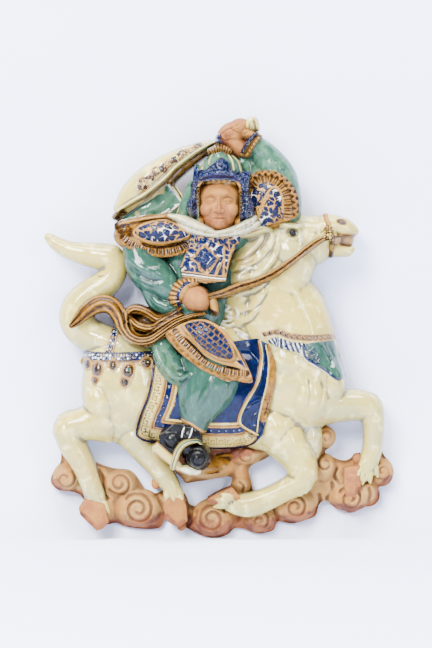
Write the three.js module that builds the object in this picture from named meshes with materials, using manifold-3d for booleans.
// A glazed stoneware ridge figure: a mounted warrior galloping over scrolling clouds.
// It is pressed and modelled in high relief as ONE fired solid with a flat back, so it is one mesh.
// Millimetres. +X to the figure's right-hand side as seen from the front, +Z up, the front faces -Y,
// and the flat back lies on the plane y = 0. The origin is the middle of the back, behind the rider's thigh.
//
// Every round form is given by its place (x, z), its half-width in the XZ plane and its crest, the
// distance from the back to its highest point. The back plane cuts all forms off flat.

import * as THREE from "three";
import { mergeVertices } from "three/addons/utils/BufferGeometryUtils.js";
import Module from "manifold-3d";

const wasm = await Module();
wasm.setup();

// Driving dimensions
const CLOUD_THICKNESS = 13; // slab of the clouds
const CLOTH_LIFT = 2.6; // how far the saddle cloth stands proud of the horse
const STRAP_LIFT = 1.8; // how far the harness straps stand proud
const LINE_SHARE = 0.38; // depth of a form's widest line, as a share of its crest
const RIDER_LINE = 38; // depth of the widest line of a form that lies over the horse
const WALL_REACH = 1.3; // how far a form runs behind its widest line, as a share of that line's depth
const WALL_TUCK = 0.3; // 0 for walls straight to the back, 1 for walls as round as the front
const TUBE_SIDES = 7; // corners round a limb, two of them behind its widest line
const STOUT_SIDES = 9; // corners round the neck and the skull
const THIN_SIDES = 6; // a limb with this many corners is thin, and ends in a plain point
const BLOB_SIDES = 10; // facets round a rounded mass
const BLOB_RINGS = 6;
const SMALL_BLOB = { sides: 6, rings: 4 };
const LARGE_BLOB = { sides: 14, rings: 6 };
const TIP_REACH = 0.9; // how far a limb's tip lies beyond its last station, as a share of its half-width
const SHOULDER_REACH = 0.64; // the same for the ring that rounds the end off
const SHOULDER_WIDTH = 0.7; // width of that ring, as a share of the end's width
const CLOUD_SPACING = 9; // distance between the corners of a curved outline
const CLOTH_CUT = 60; // depth to which cloth, straps and armour are cut out before they are laid on
const CHEST_LINE = 30; // depth of the widest line of the chest armour
const GUARD_LINE = 44; // depth of the widest line of the thigh guard
const LINING_DEPTH = 24; // slab of the banner's lining
const HOOF_BEVEL = 2;
const BACK_CUT = 400; // side of the box that cuts the back flat

// ---------------------------------------------------------------- solids from three.js geometry

function solid(geometry) {
  const bare = geometry.clone();
  bare.deleteAttribute("normal");
  bare.deleteAttribute("uv");
  const merged = mergeVertices(bare, 1e-4);
  const vertProperties = new Float32Array(merged.attributes.position.array);
  const triVerts = new Uint32Array(merged.index.array);
  const made = new wasm.Manifold(new wasm.Mesh({ numProp: 3, vertProperties, triVerts }));
  if (made.volume() > 0) return made;
  for (let i = 0; i < triVerts.length; i += 3) {
    [triVerts[i], triVerts[i + 1]] = [triVerts[i + 1], triVerts[i]];
  }
  return new wasm.Manifold(new wasm.Mesh({ numProp: 3, vertProperties, triVerts }));
}

// The section of a form at a turn from its side: how far across and how far out from the back a
// point lies. It is an ellipse in front of the widest line, and a wall that tucks in behind it.
function section(width, crest, line, turn) {
  const across = Math.cos(turn);
  const out = Math.sin(turn);
  if (out >= 0) return [width * across, line + (crest - line) * out];
  return [width * Math.sign(across) * Math.abs(across) ** WALL_TUCK, line * (1 + WALL_REACH * out)];
}

// The turn of a corner of a limb's section: two corners lie behind the widest line, the rest in front.
function turnOf(corner, sides) {
  const inFront = sides - 2;
  if (corner < inFront) return (corner / (inFront - 1)) * Math.PI;
  return Math.PI * (corner === inFront ? 4 / 3 : 5 / 3);
}

// A rounded mass with half-widths rx and rz and the given crest, turned in the XZ plane.
function blob([x, z, rx, rz, crest], { degrees = 0, line = LINE_SHARE * crest, sides = BLOB_SIDES,
  rings = BLOB_RINGS } = {}) {
  const geometry = strip(new THREE.SphereGeometry(1, sides, rings));
  const position = geometry.attributes.position;
  for (let i = 0; i < position.count; i += 1) {
    const v = new THREE.Vector3().fromBufferAttribute(position, i);
    const radius = Math.hypot(v.x, v.z);
    const [reach, out] = section(1, crest, line, Math.atan2(v.y, radius));
    const scale = radius > 1e-6 ? reach / radius : 0;
    position.setXYZ(i, v.x * scale * rx, -out, v.z * scale * rz);
  }
  geometry.rotateY(THREE.MathUtils.degToRad(-degrees));
  geometry.translate(x, 0, z);
  return solid(geometry);
}

// A limb: a closed round-ended tube through stations [x, z, half-width, crest].
function limb(stations, { sides = TUBE_SIDES, line } = {}) {
  const path = new THREE.CatmullRomCurve3(
    stations.map(([x, z]) => new THREE.Vector3(x, 0, z)), false, "centripetal");
  const rings = stations.map(([, , width, crest], i) => {
    const place = i / (stations.length - 1);
    const depth = line ?? LINE_SHARE * crest;
    return { at: path.getPoint(place), way: path.getTangent(place), width, crest, line: depth };
  });
  // A ring past the end of the limb, narrowed to a share of the end's width; 0 is the point that closes it.
  const tip = (ring, sign, reach = TIP_REACH, narrow = 0) => ({
    ...ring,
    at: ring.at.clone().addScaledVector(ring.way, sign * reach * ring.width),
    width: ring.width * narrow,
    crest: ring.line + (ring.crest - ring.line) * narrow,
  });
  const first = rings[0];
  const last = rings[rings.length - 1];
  const rounded = sides > THIN_SIDES;
  const shoulder = (ring, sign) => (rounded ? [tip(ring, sign, SHOULDER_REACH, SHOULDER_WIDTH)] : []);
  const all = [tip(first, -1), ...shoulder(first, -1), ...rings, ...shoulder(last, 1), tip(last, 1)];
  const geometry = mergeVertices(strip(new THREE.SphereGeometry(1, sides, all.length - 1)), 1e-4);
  const position = geometry.attributes.position;
  for (let i = 0; i < position.count; i += 1) {
    const v = new THREE.Vector3().fromBufferAttribute(position, i);
    const polar = Math.acos(THREE.MathUtils.clamp(v.y, -1, 1));
    const ring = all[Math.round((polar / Math.PI) * (all.length - 1))];
    const corner = Math.round((Math.atan2(v.z, -v.x) / (2 * Math.PI)) * sides + sides) % sides;
    const onTip = ring.width === 0;
    const turn = turnOf(corner, sides);
    const [across, out] = onTip ? [0, ring.line] : section(ring.width, ring.crest, ring.line, turn);
    position.setXYZ(i, ring.at.x - ring.way.z * across, -out, ring.at.z + ring.way.x * across);
  }
  return solid(geometry);
}

function strip(geometry) {
  geometry.deleteAttribute("normal");
  geometry.deleteAttribute("uv");
  return geometry;
}

// A slab cut to a closed outline in the XZ plane, from the back to the given crest.
function slab(points, crest, { bevel = 0, curved = true, spacing = 6 } = {}) {
  const corners = points.map(([x, z]) => new THREE.Vector3(x, z, 0));
  let outline = corners;
  if (curved) {
    const curve = new THREE.CatmullRomCurve3(corners, true, "centripetal");
    outline = curve.getSpacedPoints(Math.round(curve.getLength() / spacing)).slice(0, -1);
  }
  const shape = new THREE.Shape(outline.map((p) => new THREE.Vector2(p.x, p.y)));
  const geometry = new THREE.ExtrudeGeometry(shape, {
    depth: crest + 1 - bevel,
    bevelEnabled: bevel > 0,
    bevelThickness: bevel,
    bevelSize: bevel * 0.8,
    bevelOffset: -bevel * 0.8,
    bevelSegments: 1,
  });
  geometry.rotateX(Math.PI / 2);
  geometry.translate(0, 1, 0);
  return solid(geometry);
}

const union = (solids) => wasm.Manifold.union(solids);

// ---------------------------------------------------------------- the horse

const HAUNCH = [-80, -50, 37, 48, 42];
const BUTTOCK = [-92, -32, 24, 25, 37];
const BARREL = [-10, -55, 76, 48, 44];
const SHOULDER = [66, -45, 43, 46, 44];
const BELLY = [42, -80, 32, 24, 38];
const WITHERS = [12, -4, 34, 26, 34];
const NECK = [[66, -18, 38, 43], [53, 12, 41, 41], [47, 36, 36, 40], [48, 58, 30, 39]];

const MANE = [[38, 76, 13, 36], [27, 58, 19, 36], [20, 32, 20, 36], [16, 10, 17, 36]];

function horseBody() {
  return [
    ...[HAUNCH, BARREL, SHOULDER].map((form) => blob(form, LARGE_BLOB)),
    blob(BUTTOCK), blob(BELLY), blob(WITHERS), limb(NECK, { sides: STOUT_SIDES }), limb(MANE),
  ];
}

function horseHead() {
  const skull = [[40, 66, 28, 38], [60, 74, 25, 39], [79, 77, 23.5, 37], [91, 81, 18.5, 34]];
  const muzzle = [[94, 89, 11, 32], [105, 88, 9, 29], [114, 85, 6.2, 26]];
  const jaw = [[92, 70, 9, 29], [103, 68.5, 6.6, 27], [112, 68, 4.6, 25]];
  const ear = [[40, 85, 4, 42], [30, 83.5, 5.5, 44], [22, 81, 3.2, 42]];
  return [limb(skull, { sides: STOUT_SIDES }), limb(muzzle), limb(jaw), limb(ear, { sides: THIN_SIDES })];
}

function horseTail() {
  const root = [[-82, -14, 12, 32], [-98, -9, 14, 30], [-112, -3, 15, 28], [-121, 8, 15.5, 27],
    [-119, 21, 14.5, 26], [-109, 31, 13.5, 26], [-97, 39, 12.5, 25], [-89, 49, 11, 25],
    [-89, 59, 11.5, 25]];
  const brush = [[-91, 62, 12, 25], [-103, 63.5, 11.5, 24], [-118, 66, 9.5, 22], [-130, 69.5, 7.5, 19],
    [-140, 75, 6, 17], [-146, 80, 4, 14]];
  return [limb(root), limb(brush)];
}

function horseLegs() {
  const nearThigh = [[-98, -76, 22, 39], [-114, -80, 15, 37], [-127, -83, 14.5, 35]];
  const nearShank = [[-128, -85, 14, 35], [-124, -98, 12, 33], [-116, -113, 10.6, 30],
    [-110, -128, 9.3, 28], [-105, -142, 8.8, 27], [-103, -149, 8, 26]];
  const farHind = [[-72, -90, 15, 35], [-64, -102, 11.5, 32], [-54, -114, 10, 29], [-45, -126, 9, 27],
    [-38, -137, 7.5, 26]];
  const forearm = [[50, -82, 25, 42], [60, -97, 19.5, 41], [69, -110, 15.5, 39], [73, -124, 13, 38]];
  const cannon = [[71, -129, 11.5, 37], [56, -137, 9.8, 35], [42, -144, 10, 34], [29, -149, 10.8, 33],
    [16, -149.5, 9, 31], [9, -148.5, 6, 29]];
  const farArm = [[90, -62, 21, 39], [106, -64, 15, 36], [119, -64, 13.7, 34], [129, -65.5, 12.8, 33]];
  const farShin = [[130, -67, 12, 32], [133, -80, 9.6, 30], [132.5, -94, 8.7, 29], [131, -106, 8.7, 28],
    [127, -117, 8.4, 27], [124.5, -122, 6.4, 26]];
  return [nearThigh, nearShank, farHind, forearm, cannon, farArm, farShin].map((leg) => limb(leg));
}

function hooves() {
  const nearHind = [[-113, -143], [-118.5, -151], [-117, -157], [-103, -170.5], [-98, -169], [-93, -164],
    [-96, -148]];
  const farHind = [[-40, -141, 8, 25], [-38, -150, 9, 25], [-33, -159, 8.5, 24]];
  const nearFore = [[12, -133.5], [19, -142], [6, -151.5], [-6, -148], [-9.5, -144], [0, -138.5]];
  const farFore = [[108, -117], [121, -115], [122.5, -130], [118, -143], [109, -142], [107, -128]];
  const flat = { bevel: HOOF_BEVEL, curved: false };
  const claws = [[119.5, -111, 4.2, 5.5, 22], [-53, -131, 4, 5.5, 22]];
  return [
    slab(nearHind, 29, flat), limb(farHind), slab(nearFore, 30, flat), slab(farFore, 24, flat),
    ...claws.map((claw) => blob(claw, SMALL_BLOB)),
  ];
}

// ---------------------------------------------------------------- the clouds under the horse

function clouds() {
  const left = [[-134, -102], [-135, -113], [-142, -123], [-143.5, -131], [-137, -137.5],
    [-125, -139], [-117, -143], [-110, -156], [-102, -166], [-94, -167], [-87, -165.5], [-80, -168.5],
    [-64, -171], [-50, -170],
    [-46, -163], [-41, -160.5], [-33, -165], [-26, -162], [-25, -150], [-30, -139], [-40, -134],
    [-49, -139.5],
    [-59, -141], [-65, -134], [-70, -126], [-77, -120.5], [-88, -119.5], [-99, -116.5], [-112, -110],
    [-125, -102]];
  const low = [[-32, -165], [-22, -172.5], [-12, -177], [-2, -178.5], [8, -176], [14, -170.5], [22, -170.5],
    [32, -174.5], [42, -174], [48.5, -171], [51, -164], [58, -165.5], [66, -166], [76, -163], [84, -159.5],
    [87, -150], [92, -146], [97, -149], [102, -154], [107, -154], [113, -157.5], [120, -155], [125, -152],
    [133, -151], [138, -146.5], [139, -140], [137.5, -133], [144, -130], [149.5, -127], [151, -120],
    [147, -113], [143, -108], [139, -103], [130, -103], [119, -107], [112, -112], [105, -112], [99, -109.5],
    [93, -108.5], [91.5, -104], [96, -101], [100.5, -96], [101, -89], [96, -83.5], [86, -80], [74, -86],
    [76, -124],
    [64, -131], [50, -133], [40, -137], [29, -139.5], [14, -138], [-7, -144], [-11, -149], [-18, -152.5],
    [-26, -151]];
  const middle = [[-58, -94], [-49, -104], [-41, -117], [-31, -127], [-28, -131.5], [-20, -130.5],
    [-9, -129], [0, -127], [9, -126], [12.5, -128], [11, -134], [13, -142], [29, -142], [28.5, -129],
    [26.5, -120], [31, -115],
    [42, -110], [47, -103], [30, -96], [0, -96], [-30, -96]];
  const edge = { spacing: CLOUD_SPACING };
  const puffs = [[-130, -126, 11.5, 12, 20], [-84, -131, 15, 11, 18], [-68, -153, 21, 17, 19],
    [-4, -161, 19, 16.5, 20], [36, -163, 15, 10.5, 18], [66, -151, 19, 13.5, 18], [93, -92, 8, 9, 17],
    [113, -143, 19, 13, 18], [141, -122, 9, 12, 18], [24, -107, 15, 8, 18], [-8, -118, 24, 9, 19]];
  return [
    slab(left, CLOUD_THICKNESS, edge), slab(low, CLOUD_THICKNESS, edge), slab(middle, CLOUD_THICKNESS,
      edge),
    ...puffs.map((puff) => blob(puff)),
  ];
}

// ---------------------------------------------------------------- saddle cloth and harness

function grown([x, z, rx, rz, crest], lift) {
  return [x, z, rx + lift, rz + lift, crest + lift];
}

// The horse's trunk grown outwards, which gives cloth and straps their draped surface.
function trunkSkin(lift) {
  return union([
    ...[HAUNCH, BARREL, SHOULDER].map((form) => blob(grown(form, lift), LARGE_BLOB)),
    ...[BUTTOCK, BELLY].map((form) => blob(grown(form, lift))),
    limb(NECK.map(([x, z, r, crest]) => [x, z, r + lift, crest + lift]), { sides: STOUT_SIDES }),
  ]);
}

function saddleCloth() {
  const outline = [[-55, -20], [-57, -40], [-60, -55], [-66, -70], [-70, -84], [-69, -91], [-60, -95.5],
    [-40, -99], [-5, -102], [20, -101.5], [31, -97], [38, -88], [39, -79], [45, -62], [48.5, -42],
    [47, -24], [42, -11],
    [33, -8], [10, -10]];
  return slab(outline, CLOTH_CUT, { spacing: CLOUD_SPACING }).intersect(trunkSkin(CLOTH_LIFT));
}

function harness() {
  const skin = trunkSkin(STRAP_LIFT);
  const rumpStrap = [[-114, -19], [-114, -24.5], [-85, -25], [-55, -25], [-55, -19], [-85, -19]];
  const dockStrap = [[-91, 1], [-86, 1], [-90, -20], [-96, -20]];
  const collar = [[38, -2], [50, 1.5], [62, -3], [80, -4], [99, -2], [101, -9], [104, -20], [109, -40],
    [100, -41],
    [90, -33], [84, -28], [76, -26], [71, -19], [62, -16.5], [52, -13], [42, -9]];
  const straps = [rumpStrap, dockStrap, collar].map((band) =>
    slab(band, CLOTH_CUT, { curved: false }).intersect(skin));
  const pendants = [[-103, -35, 5, 7, 41], [-76, -35, 5.5, 7, 43], [-89, -31, 3.5, 4.5, 42],
    [-61, -29, 4, 4, 44.5]];
  return [...straps, ...pendants.map((jewel) => blob(jewel, SMALL_BLOB))];
}

function reins() {
  const rein = [[-6, 26, 3.4, 57], [14, 33, 2.8, 46], [30, 38.5, 2.8, 44], [46, 47, 2.8, 43],
    [62, 58.5, 2.8, 42], [78, 71, 2.8, 41], [94, 79, 3, 36]];
  const noseband = [[93, 99, 2.4, 31], [95, 90, 2.6, 36], [97, 79, 3.6, 36], [97, 70, 3, 34],
    [96, 63.5, 2.6, 28]];
  return [limb(rein, { sides: THIN_SIDES }), limb(noseband, { sides: THIN_SIDES })];
}

// ---------------------------------------------------------------- the rider

function riderBody() {
  const sleeve = [[-70, 70, 12, 42], [-62, 56, 17, 48], [-51, 43, 17, 50], [-41, 33, 12, 49]];
  const sleeveFold = [[-58, 33, 6.5, 42], [-50, 22, 7.5, 45], [-39, 19, 6, 47]];
  const raisedArm = [[60, 98, 11.5, 38], [57.5, 112, 13.5, 40], [51, 129, 16.5, 42], [42, 145, 13, 42],
    [32, 156, 9, 42]];
  const thigh = [[-6, -26, 27, 56], [-9, -46, 27, 58], [-14, -60, 22.5, 57], [-19, -73, 14, 54]];
  const waist = [[-84, -8, 12, 28], [-48, -4, 14, 34], [-12, 12, 20, 36], [2, 44, 19, 36]];
  const flank = [[-30, 38, 15, 38], [-29, 70, 17, 40]];
  const underArm = [[34, 116, 14, 36], [20, 146, 10, 36]];
  const skirt = [[-51, -14, 8, 48], [-47, -26, 9.5, 51], [-38, -39, 9, 52]];
  return [
    blob([-10, 80, 40, 18, 46]), blob([-24, 16, 34, 27, 49]), blob([2, 108, 27, 26, 42], { sides: 8 }),
    ...[waist, flank, underArm].map((form) => limb(form, { sides: THIN_SIDES })),
    limb(sleeve), limb(sleeveFold, { sides: THIN_SIDES }), limb(raisedArm),
    limb(thigh, { line: RIDER_LINE }), limb(skirt, { line: RIDER_LINE }),
  ];
}

function riderHead() {
  const face = [1, 104, 17.5, 21, 60];
  const cap = [4, 131, 18, 21, 53];
  const nose = [1, 101.5, 3, 7, 63.5];
  const brow = [[-17, 126, 5, 56], [-6, 128, 6, 60], [9, 129, 6, 60], [22, 126, 5, 56]];
  const leftFlap = [[-20, 120, 4, 52], [-20, 110, 5, 54], [-22, 101, 5.5, 54], [-16, 95, 4, 54]];
  const rightFlap = [[21, 119, 4, 52], [22, 109, 5, 54], [26, 100, 6.5, 54], [22, 93, 4, 54]];
  const scarf = [[-40, 95.5, 3.5, 53], [-27, 90, 7, 55], [-12, 84, 6, 57], [2, 81, 4.5, 58],
    [16, 84, 6, 56],
    [27, 91, 5.5, 52]];
  const finial = [[2, 146, 10, 44], [1, 154, 4.5, 46], [1, 161, 2.6, 42]];
  const crest = [3, 136, 7, 8, 61];
  return [
    blob(face), blob(cap), blob(nose, SMALL_BLOB), blob(crest, SMALL_BLOB),
    ...[brow, leftFlap, rightFlap, scarf, finial].map((form) => limb(form, { sides: THIN_SIDES,
    line: RIDER_LINE })),
  ];
}

function riderHands() {
  const raisedFist = [15, 166.5, 16, 12, 47];
  const pommel = [28, 172, 7, 8, 41];
  const wrist = [[22, 157, 9, 44], [28, 159, 8, 43]];
  const raisedCuff = [[20.5, 148.5, 4, 46], [27, 156.5, 5, 48], [33.5, 162.5, 3.6, 45]];
  const reinFist = [-19, 26.5, 13, 12, 61];
  const fingers = [[-9, 27, 3.2, 59], [-5, 22, 3, 59], [-6, 16, 3, 58]];
  const cuff = [[-27, 40, 4.5, 54], [-36, 35, 5, 54], [-37, 26, 5, 54], [-33, 20.5, 3.5, 52]];
  return [
    blob(raisedFist, { degrees: 32 }), blob(pommel, SMALL_BLOB), limb(wrist), limb(raisedCuff,
      { sides: THIN_SIDES }),
    blob(reinFist, { line: RIDER_LINE }),
    ...[fingers, cuff].map((form) => limb(form, { sides: THIN_SIDES, line: RIDER_LINE })),
  ];
}

function armour() {
  const chest = [[-21, 80], [20, 80], [12, 66], [8.5, 55], [6.5, 41], [-10, 39.5], [-28, 44], [-31, 54],
    [-24, 66]];
  return [
    slab(chest, CLOTH_CUT, { curved: false }).intersect(blob([-5, 60, 34, 34, 55], { line: CHEST_LINE })),
    blob([-53, 78, 34, 17, 51], { degrees: -4 }), blob([-50, 82, 22, 10.5, 57], { degrees: -3 }),
    blob([42, 109, 25.5, 26, 48]), blob([43, 106, 14, 17, 52]),
    blob([-7, -19, 39, 17.5, 61], { degrees: -35, line: GUARD_LINE }),
    blob([-6, -10, 26, 13, 65], { degrees: -37, line: RIDER_LINE }),
  ];
}

function bootAndStirrup() {
  const foot = [[-41, -92, 10.5, 56], [-31, -97, 12.5, 59], [-21, -103, 11.5, 61]];
  const shaft = [[-24, -79, 10.5, 54], [-29, -89, 11.5, 57]];
  const sole = [[-50, -101, 4, 52], [-38, -111, 4.5, 55], [-24, -119, 4, 56], [-13, -119.5, 2.6, 54]];
  const strap = [[-35, -113, 3, 61], [-32, -102, 3.2, 64], [-25, -94, 3.2, 64], [-15, -92, 2.8, 60]];
  return [
    ...[foot, shaft].map((form) => limb(form, { line: RIDER_LINE })),
    ...[sole, strap].map((form) => limb(form, { sides: THIN_SIDES, line: RIDER_LINE })),
    blob([-16.5, -106.5, 12.3, 12.3, 66], { line: RIDER_LINE }),
  ];
}

// ---------------------------------------------------------------- banner and sash

function banner() {
  const sweep = [[-2, 159.5, 4, 33], [-22, 152, 6.5, 33], [-43, 141, 9.5, 33], [-60, 128, 12, 33],
    [-73, 114, 12, 31], [-82, 102, 7.5, 28]];
  const rim = [[2, 156, 2.4, 38], [-18, 147.5, 2.8, 38], [-36, 136.5, 3.2, 38], [-49, 123.5, 3.4, 37],
    [-62, 110.5, 3.4, 36], [-77, 103, 3.4, 33], [-87, 94.5, 3.6, 30]];
  const lining = [[-86, 89], [-78, 99], [-64, 107], [-50, 120], [-38, 132], [-28, 112], [-31, 104],
    [-36, 98],
    [-45, 88], [-70, 86]];
  const pole = [[0, 158, 3.5, 36], [14, 160, 4, 40]];
  return [
    limb(sweep), slab(lining, LINING_DEPTH, { curved: false }),
    ...[rim, pole].map((part) => limb(part, { sides: THIN_SIDES })),
  ];
}

function sash() {
  const low = [[-122, 6, 4.5, 33], [-113, 13, 6.5, 34], [-104, 20.5, 8, 35], [-95, 22.5, 8, 36],
    [-87, 15, 7.5, 39], [-82, 4, 6.8, 43], [-76, -5, 6.4, 47], [-65, -9.5, 5.6, 50], [-54, -7, 5.4, 52],
    [-44, 1, 5, 53], [-32, 9.5, 4, 54], [-16, 12.5, 3, 56]];
  const upper = [[-75, 14, 5, 46], [-69, 18, 5.5, 48], [-60, 15, 5.5, 50], [-51, 9, 5, 52],
    [-42, 11, 4, 53],
    [-31, 17, 3.4, 54]];
  const middle = [[-75, 8, 4.5, 47], [-67, 3, 5.5, 50], [-56, 1.5, 5, 52], [-45, 6, 4.5, 54],
    [-31, 13, 3.5, 55]];
  const web = [[-74, 11, 7, 34], [-60, 8, 10, 38], [-44, 9, 8, 42]];
  return [low, upper, middle, web].map((strand) => limb(strand, { sides: THIN_SIDES }));
}

// ---------------------------------------------------------------- the whole figure

const backCutter = new THREE.BoxGeometry(BACK_CUT, BACK_CUT / 4, BACK_CUT);
backCutter.translate(0, BACK_CUT / 8, 0);

const figure = union([
  ...horseBody(), ...horseHead(), ...horseTail(), ...horseLegs(), ...hooves(), ...clouds(),
  saddleCloth(), ...harness(), ...reins(),
  ...riderBody(), ...riderHead(), ...riderHands(), ...armour(), ...bootAndStirrup(),
  ...banner(), ...sash(),
]).subtract(solid(backCutter));

// Forms that cross can close in a sliver of air, which is not part of the outer body.
const outer = figure.decompose().reduce((best, body) => (body.volume() > best.volume() ? body : best));

const { vertProperties, triVerts } = outer.getMesh();
const geometry = new THREE.BufferGeometry();
geometry.setAttribute("position", new THREE.BufferAttribute(new Float32Array(vertProperties), 3));
geometry.setIndex(new THREE.BufferAttribute(new Uint32Array(triVerts), 1));
geometry.computeVertexNormals();

const glazedStoneware = new THREE.MeshStandardMaterial({ color: 0xd9d2b0, roughness: 0.25, metalness: 0 });
const plaque = new THREE.Mesh(geometry, glazedStoneware);
plaque.name = "mounted_warrior_plaque";

const group = new THREE.Group();
group.add(plaque);
export default group;
